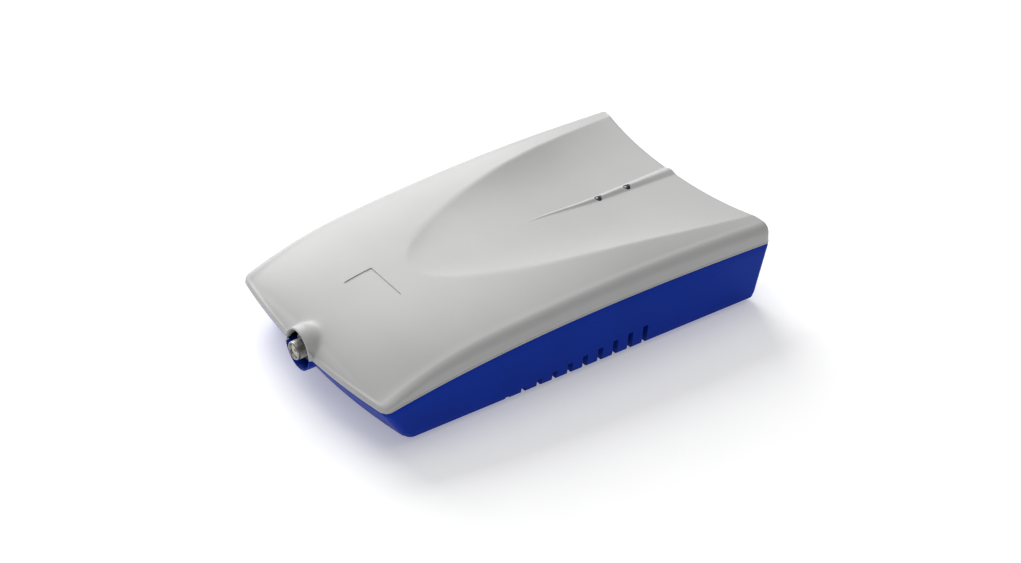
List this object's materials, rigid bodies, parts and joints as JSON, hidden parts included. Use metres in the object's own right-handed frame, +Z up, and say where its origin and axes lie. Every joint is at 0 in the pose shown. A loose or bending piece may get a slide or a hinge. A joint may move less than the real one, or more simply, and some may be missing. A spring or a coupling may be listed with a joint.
{
  "type": "cable modem",
  "caption": "Desktop cable modem: sculpted two-tone plastic case with vents, indicator windows, front coaxial port, board inside and rear network and power sockets.",
  "frame": {"origin": "centre of the bounding box in plan, at the underside of the rubber feet", "axes": "+X from the coaxial port end to the indicator end, +Y across the case, +Z up"},
  "size_m": [0.2308, 0.1386, 0.0507],
  "materials": {
    "cover_plastic": "satin moulded light grey ABS",
    "shell_plastic": "satin moulded deep blue ABS",
    "nickel": "nickel-plated brass, slightly dulled",
    "white_plastic": "natural polyethylene insulator",
    "gold_contact": "gold-flashed contact",
    "board": "green solder mask",
    "tinplate": "bright tin-plated steel",
    "black_plastic": "black moulding compound",
    "black_alloy": "black anodised aluminium",
    "thermal_pad": "grey silicone",
    "led_body": "pale diffusing resin",
    "smoked_lens": "dark smoked acrylic",
    "screw_steel": "zinc-plated steel",
    "foot_rubber": "black elastomer",
    "label_paper": "silver-grey polyester film, blank"
  },
  "bodies": {
    "case": {"bottom_shell": "shell_plastic", "capacitor_1": "black_alloy", "capacitor_2": "black_alloy", "capacitor_3": "black_alloy", "case_screw_1": "screw_steel", "case_screw_2": "screw_steel", "case_screw_3": "screw_steel", "case_screw_4": "screw_steel", "coax_connector": "nickel", "coax_contact": "gold_contact", "coax_hex_nut": "nickel", "coax_insulator": "white_plastic", "coax_washer": "nickel", "crystal": "tinplate", "ethernet_contacts": "gold_contact", "ethernet_jack": "tinplate", "ethernet_transformer": "black_plastic", "flash_chip": "black_plastic", "heat_sink": "black_alloy", "led_online": "led_body", "led_power": "led_body", "light_pipe_online": "smoked_lens", "light_pipe_power": "smoked_lens", "main_pcb": "board", "memory_chip": "black_plastic", "modem_chip": "black_plastic", "pcb_screw_1": "screw_steel", "pcb_screw_2": "screw_steel", "pcb_screw_3": "screw_steel", "pcb_screw_4": "screw_steel", "power_inductor": "black_plastic", "power_jack": "black_plastic", "power_pin": "gold_contact", "power_regulator": "black_plastic", "rating_label": "label_paper", "reset_switch": "tinplate", "rubber_foot_1": "foot_rubber", "rubber_foot_2": "foot_rubber", "rubber_foot_3": "foot_rubber", "rubber_foot_4": "foot_rubber", "shield_frame": "tinplate", "shield_lid": "tinplate", "thermal_pad": "thermal_pad", "top_cover": "cover_plastic", "tuner_chip": "black_plastic"},
    "reset_plunger": {"reset_button": "black_plastic"}
  },
  "joints": [
    {"name": "reset_press", "type": "slide", "parent": "case", "child": "reset_plunger", "axis": [-1, 0, 0], "range_m": [0, 0.0005], "stiffness_N_per_m": 2000}
  ]
}
